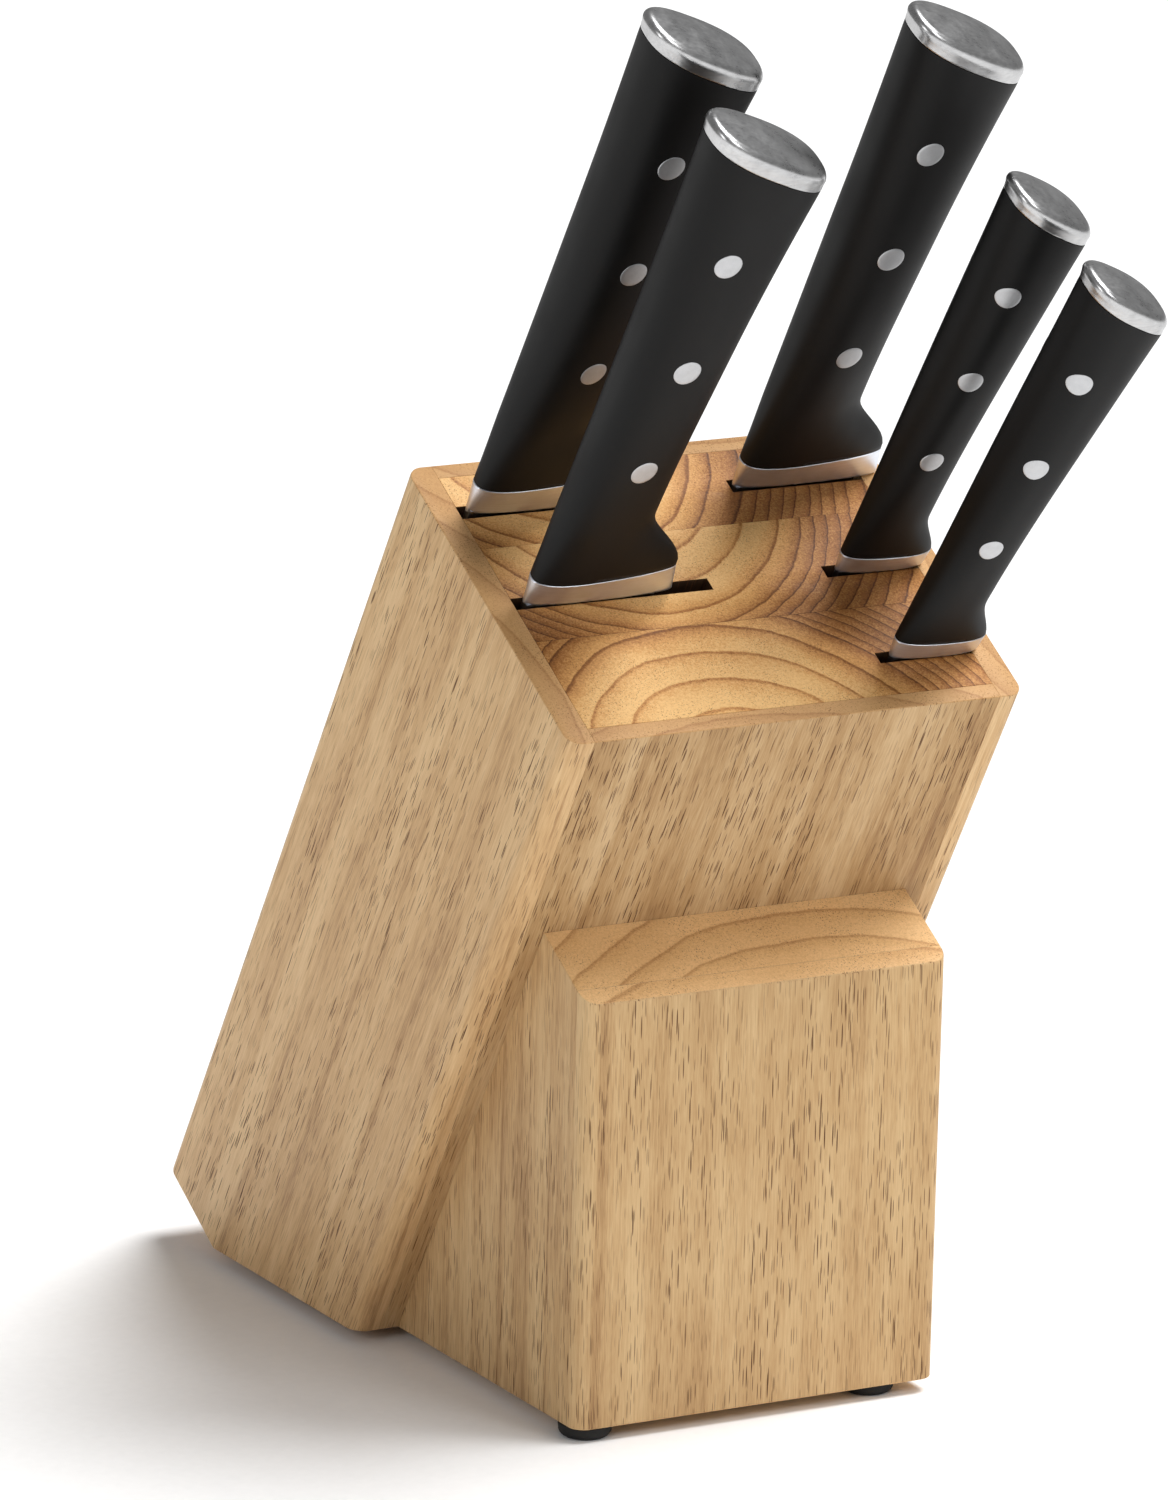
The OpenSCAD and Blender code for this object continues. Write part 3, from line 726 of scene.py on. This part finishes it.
# length is the handle with its bolster, sweep its lean across the block for each millimetre up, and
# blade, width and thick are the blade's. tip is where the point lies across its width.
KNIVES = dict(
    chef=dict(LARGE, length=120.0, sweep=-0.015, rivet_x=14.4, rivet_sweep=0.0, rivet_z=41.6,
              blade=200, width=42.6, thick=2.2, tip=0.3, edge_power=2.6, spine_power=7),
    bread=dict(LARGE, length=118.0, sweep=-0.004, rivet_x=12.3, rivet_sweep=0.02, rivet_z=40.5,
               blade=190, width=31, thick=2.2, tip=0.9, edge_power=14, spine_power=9),
    carving=dict(LARGE, length=117.5, sweep=-0.027, rivet_x=12.0, rivet_sweep=0.0, rivet_z=40.4,
                 blade=200, width=29, thick=2.2, tip=0.35, edge_power=5, spine_power=8),
    utility=dict(SMALL, length=96.1, sweep=0.049, rivet_x=8.0, rivet_sweep=0.044, rivet_z=34.4,
                 blade=130, width=18, thick=1.7, tip=0.45, edge_power=5, spine_power=5),
    paring=dict(SMALL, length=94.5, sweep=0.106, rivet_x=7.7, rivet_sweep=0.099, rivet_z=33.6,
                blade=90, width=18, thick=1.7, tip=0.5, edge_power=4, spine_power=4),
)


def smooth_step(u):
    """Smooth change from 0 to 1 as u goes from 0 to 1."""
    v = min(1, max(0, u))
    return v * v * (3 - 2 * v)


class Knife:
    """Formulas of one knife: x from its spine to its edge, z up from its bolster's foot."""

    def __init__(self, name):
        self.name = name
        self.__dict__.update(KNIVES[name])
        low, high = box_in(LEANING, f"{name}_bolster")
        self.place = LEANING @ Matrix.Translation((low.x, (low.y + high.y) / 2, low.z))
        self.skirt = max(0, low.z - BLOCK_HIGH.z - 0.4)

    def above(self, z):
        """Height over the seam of handle and bolster."""
        return max(0, z - self.bolster_h)

    def spine_line(self, z):
        w = self.above(z)
        u = 1 - w / (self.length - self.bolster_h)
        return self.rise * (1 - u * u) + self.sweep * w

    def edge_line(self, z):
        grows = max(0, (z - self.waist_z) / (self.length - self.waist_z))
        flare = 1 - math.cos(math.pi / 2 * grows)
        guard = 1 - smooth_step((z - self.guard_z) / (self.waist_z - self.guard_z))
        butt = self.butt_w + self.rise - self.waist_x
        outline = self.waist_x + (self.guard_x - self.waist_x) * guard + butt * flare
        return outline + self.sweep * self.above(z)

    def half_t(self, z):
        u = min(1, self.above(z) / (self.thickens * self.length))
        return (self.joint_t + (self.butt_t - self.joint_t) * math.sin(math.pi / 2 * u)) / 2

    def wedge_at(self, z):
        return self.wedge * max(0, 1 - self.above(z) / (0.5 * self.length)) ** 2

    def tang_x(self, z):
        """Middle of the tang and of the rivets across the handle."""
        return self.rivet_x + self.rivet_sweep * (z - self.bolster_h)

    def side_y(self, x, z):
        """Half thickness of the tilted handle at a point on its side."""
        low, reach = self.bolster_h, self.length - self.bolster_h
        flat = z
        for _ in range(6):
            middle = (self.spine_line(flat) + self.edge_line(flat)) / 2
            flat = z + self.cap_slope * ((flat - low) / reach) ** 2 * (x - middle)
        z = flat
        left, right = self.spine_line(z), self.edge_line(z)
        u = (2 * x - left - right) / (right - left)
        bulge = (1 - abs(u) ** SECTION_POWER) ** (1 / SECTION_POWER)
        return self.half_t(z) * bulge * (1 - self.wedge_at(z) * u)

    def ring(self, z, slope=0.0, inset=0.0, rise=0.0, scale=1.0):
        """Section at a height, tilted by slope, drawn in by inset and moved up by rise."""
        left, right = self.spine_line(z), self.edge_line(z)
        half_w, half_t = (right - left) / 2 - inset, self.half_t(z) - inset
        points = oval(half_w * scale, half_t * scale, self.wedge_at(z))
        return [((left + right) / 2 + x, y, z + rise - slope * x) for x, y in points]


def oval(half_w, half_t, wedge):
    """Superellipse that is thinner towards its +X end by wedge."""
    points = []
    for i in range(SECTION_POINTS):
        angle = 2 * math.pi * i / SECTION_POINTS
        u = math.copysign(abs(math.cos(angle)) ** (2 / SECTION_POWER), math.cos(angle))
        v = math.copysign(abs(math.sin(angle)) ** (2 / SECTION_POWER), math.sin(angle))
        points.append((half_w * u, half_t * v * (1 - wedge * u)))
    return points


def knife_piece(knife, piece, shape, material, sharp):
    """Detailed piece that stands for one CAD node of a knife."""
    mesh = mesh_of(f"{knife.name}_{piece}", shape.verts, shape.faces, knife.place)
    new_piece(f"{knife.name}_{piece}_detail", mesh, material, f"{knife.name}_knife",
              [f"{knife.name}_{piece}"], sharp)


def make_handle(knife):
    low = knife.bolster_h
    reach = knife.length - low
    rings = [knife.ring(low, inset=0.22), knife.ring(low, inset=0.06, rise=0.1)]
    for i in range(1, HANDLE_STEPS):
        u = i / HANDLE_STEPS
        rings.append(knife.ring(low + u * reach, knife.cap_slope * u * u))
    rings.append(knife.ring(knife.length, knife.cap_slope, 0.04, -0.12))
    rings.append(knife.ring(knife.length, knife.cap_slope, 0.2))
    shape = Shape()
    shape.loft(rings)
    knife_piece(knife, "handle", shape, BLACK_PLASTIC, 50)


def bolster_ring(knife, u, inset=0.0, rise=0.0):
    """Section of the bolster at a share u of its height."""
    half = (knife.edge_line(knife.bolster_h) + knife.foot_reach * (1 - u)) / 2
    thick = knife.foot_t + (knife.joint_t - knife.foot_t) * u
    wedge = knife.foot_wedge + (knife.wedge - knife.foot_wedge) * u
    points = oval(half - inset, thick / 2 - inset, wedge)
    return [(half + x, y, u * knife.bolster_h + rise) for x, y in points]


def make_bolster(knife):
    foot = -knife.skirt
    eased = [(0.3, 0), (0.09, 0.09), (0, 0.3)]
    rings = [bolster_ring(knife, 0, inset, foot + rise) for inset, rise in eased]
    rings += [bolster_ring(knife, i / BOLSTER_STEPS) for i in range(1, BOLSTER_STEPS)]
    rings += [bolster_ring(knife, 1, 0, -0.12), bolster_ring(knife, 1, 0.12)]
    shape = Shape()
    shape.loft(rings)
    knife_piece(knife, "bolster", shape, BOLSTER_STEEL, 50)


def make_cap(knife):
    """Slanted cap that flares a little, with a round rim and a low dome."""
    z, slope = knife.length, knife.cap_slope
    straight = knife.cap_h - CAP_ROUND
    rings = [knife.ring(z, slope, 0.16), knife.ring(z, slope, 0.0, 0.14)]
    rings += [knife.ring(z, slope, -CAP_FLARE * u * u, straight * u) for u in (0.2, 0.4, 0.6, 0.8)]
    for i in range(RIM_STEPS + 1):
        a = math.pi / 2 * i / RIM_STEPS
        inset = CAP_ROUND * (1 - math.cos(a)) - CAP_FLARE
        rings.append(knife.ring(z, slope, inset, straight + CAP_ROUND * math.sin(a)))
    inset = CAP_ROUND - CAP_FLARE
    for i in range(1, DOME_STEPS):
        scale = 1 - i / DOME_STEPS
        rise = knife.cap_h + CAP_DOME * (1 - scale ** 2.2)
        rings.append(knife.ring(z, slope, inset, rise, scale))
    shape = Shape()
    shape.loft(rings)
    knife_piece(knife, "end_cap", shape, CAP_STEEL, 50)


def rivet_ring(knife, x0, z0, side, share, proud):
    """Ring around a rivet's axis that follows the handle's surface on one side."""
    radius = knife.rivet_d / 2 * share
    points = []
    for i in range(RIVET_POINTS):
        angle = 2 * math.pi * i / RIVET_POINTS
        x, z = x0 + radius * math.cos(angle), z0 + radius * math.sin(angle)
        points.append((x, side * (knife.side_y(x, z) + proud), z))
    return points


def make_rivets(knife):
    """Three pins through the handle, whose ends stand just proud of it."""
    shape = Shape()
    for i in range(3):
        z = knife.rivet_z + i * knife.rivet_step
        x = knife.tang_x(z)
        front = [rivet_ring(knife, x, z, -1, share, proud) for share, proud in RIVET_END]
        back = [rivet_ring(knife, x, z, 1, share, proud) for share, proud in RIVET_END[::-1]]
        shape.loft(front + back)
    knife_piece(knife, "rivets", shape, RIVET_STEEL, 40)


def scallop(knife, depth):
    """How far the bread knife's edge is ground back at a depth below its heel."""
    if knife.name != "bread" or depth < 10:
        return 0
    return 0.5 * (1 - math.cos(2 * math.pi * SCALLOPS * depth / knife.blade))


def blade_section(knife, depth):
    """Spine with eased corners, flat, straight grind and narrow cutting bevel."""
    u = depth / knife.blade
    width = knife.width if depth > HEEL_DROP else min(knife.width, knife.guard_x - 1)
    spine = 0.5 + knife.tip * width * u ** knife.spine_power
    edge = 0.5 + width * (1 - (1 - knife.tip) * u ** knife.edge_power) - scallop(knife, depth)
    left = min(spine, edge - 0.8)
    span = edge - left
    thin = knife.thick / 2 * (1 - 0.55 * u)
    ease = min(0.3, span * 0.2)
    grind = left + 0.35 * span
    bevel = edge - min(1.1, span * 0.25)
    half = [(left, thin - min(0.25, thin * 0.4)), (left + ease, thin), (grind, thin),
            (bevel, 0.12 + 0.14 * thin), (edge, 0.03)]
    return [(x, -y, -depth) for x, y in half] + [(x, y, -depth) for x, y in half[::-1]]


def make_blade(knife):
    """Blade and hidden tang."""
    steps = 12 * SCALLOPS if knife.name == "bread" else 150
    depths = [0, HEEL_DROP, HEEL_DROP + 0.15]
    evenly = [knife.blade * i / steps for i in range(1, steps + 1)]
    depths += [depth for depth in evenly if depth > HEEL_DROP + 0.3]
    shape = Shape()
    shape.loft([blade_section(knife, d) for d in depths])
    tang_t = knife.thick / 2 - 0.1
    top = knife.rivet_z + 2 * knife.rivet_step + 4
    rings = []
    for z in (-3, top - 1.5, top):
        x = knife.tang_x(z)
        w = knife.tang_w / 2 - (1.5 if z == top else 0)
        rings.append([(x - w, -tang_t, z), (x + w, -tang_t, z), (x + w, tang_t, z), (x - w, tang_t, z)])
    shape.loft(rings)
    knife_piece(knife, "blade", shape, BLADE_STEEL, 20)


# ---------------------------------------------------------------- floor, lights and camera

def make_floor():
    bm = bmesh.new()
    bmesh.ops.create_grid(bm, x_segments=24, y_segments=24, size=4.0)
    mesh = bpy.data.meshes.new("floor")
    bm.to_mesh(mesh)
    bm.free()
    mesh.materials.append(floor_paper())
    floor = bpy.data.objects.new("floor", mesh)
    bpy.context.scene.collection.objects.link(floor)


def softbox(name, place, target, size, energy):
    """Round area light that shines at a point."""
    data = bpy.data.lights.new(name, "AREA")
    data.energy = energy
    data.shape = "DISK"
    data.size = size
    light = bpy.data.objects.new(name, data)
    bpy.context.scene.collection.objects.link(light)
    light.location = place
    light.rotation_euler = (Vector(target) - light.location).to_track_quat("-Z", "Y").to_euler()


def lights():
    """White surroundings, one large soft light from above and two softboxes."""
    world = bpy.data.worlds.new("studio")
    bpy.context.scene.world = world
    world.use_nodes = True
    background = world.node_tree.nodes["Background"]
    background.inputs[0].default_value = (1, 1, 1, 1)
    background.inputs[1].default_value = 0.25
    sky = bpy.data.lights.new("overhead", "SUN")
    sky.energy = 3.4
    sky.angle = math.radians(31)
    ceiling = bpy.data.objects.new("overhead", sky)
    bpy.context.scene.collection.objects.link(ceiling)
    ceiling.rotation_euler = Vector((0.4, -0.1, 0.91)).to_track_quat("Z", "Y").to_euler()
    softbox("left", (-1.6, -0.9, 0.9), (0, 0, 0.12), 0.8, 6)
    softbox("front", (0.7, -1.9, 1.7), (0, 0, 0.12), 1.0, 13)


# The product view, in degrees and millimetres: far away, a little above, from the left of the front
CAMERA_AZIMUTH = -29.285
CAMERA_ELEVATION = 14.189
CAMERA_ROLL = 1.368
CAMERA_DISTANCE = 2020.0
CAMERA_AIM = (-0.793, 0.740, 123.018)
CAMERA_LENS = 227.382


def camera():
    azimuth, elevation = math.radians(CAMERA_AZIMUTH), math.radians(CAMERA_ELEVATION)
    roll = math.radians(CAMERA_ROLL)
    back = Vector((math.sin(azimuth) * math.cos(elevation), -math.cos(azimuth) * math.cos(elevation),
                   math.sin(elevation)))
    right = (-back).cross(UP).normalized()
    up = right.cross(-back)
    x_axis = right * math.cos(roll) + up * math.sin(roll)
    y_axis = -right * math.sin(roll) + up * math.cos(roll)
    data = bpy.data.cameras.new("camera")
    data.lens = CAMERA_LENS
    data.clip_start = 0.1
    data.clip_end = 20
    eye = bpy.data.objects.new("camera", data)
    bpy.context.scene.collection.objects.link(eye)
    turn = Matrix((x_axis, y_axis, back)).transposed().to_4x4()
    place = ORIGIN + (Vector(CAMERA_AIM) + back * CAMERA_DISTANCE) * MM
    eye.matrix_world = Matrix.Translation(place) @ turn
    bpy.context.scene.camera = eye


side_boards()
skins()
core_boards()
foot_boards()
rubber_feet()
foot_screws()
for knife_name in KNIVES:
    knife = Knife(knife_name)
    make_blade(knife)
    make_bolster(knife)
    make_handle(knife)
    make_rivets(knife)
    make_cap(knife)
make_floor()
lights()
camera()
bpy.context.scene.view_settings.view_transform = "Standard"
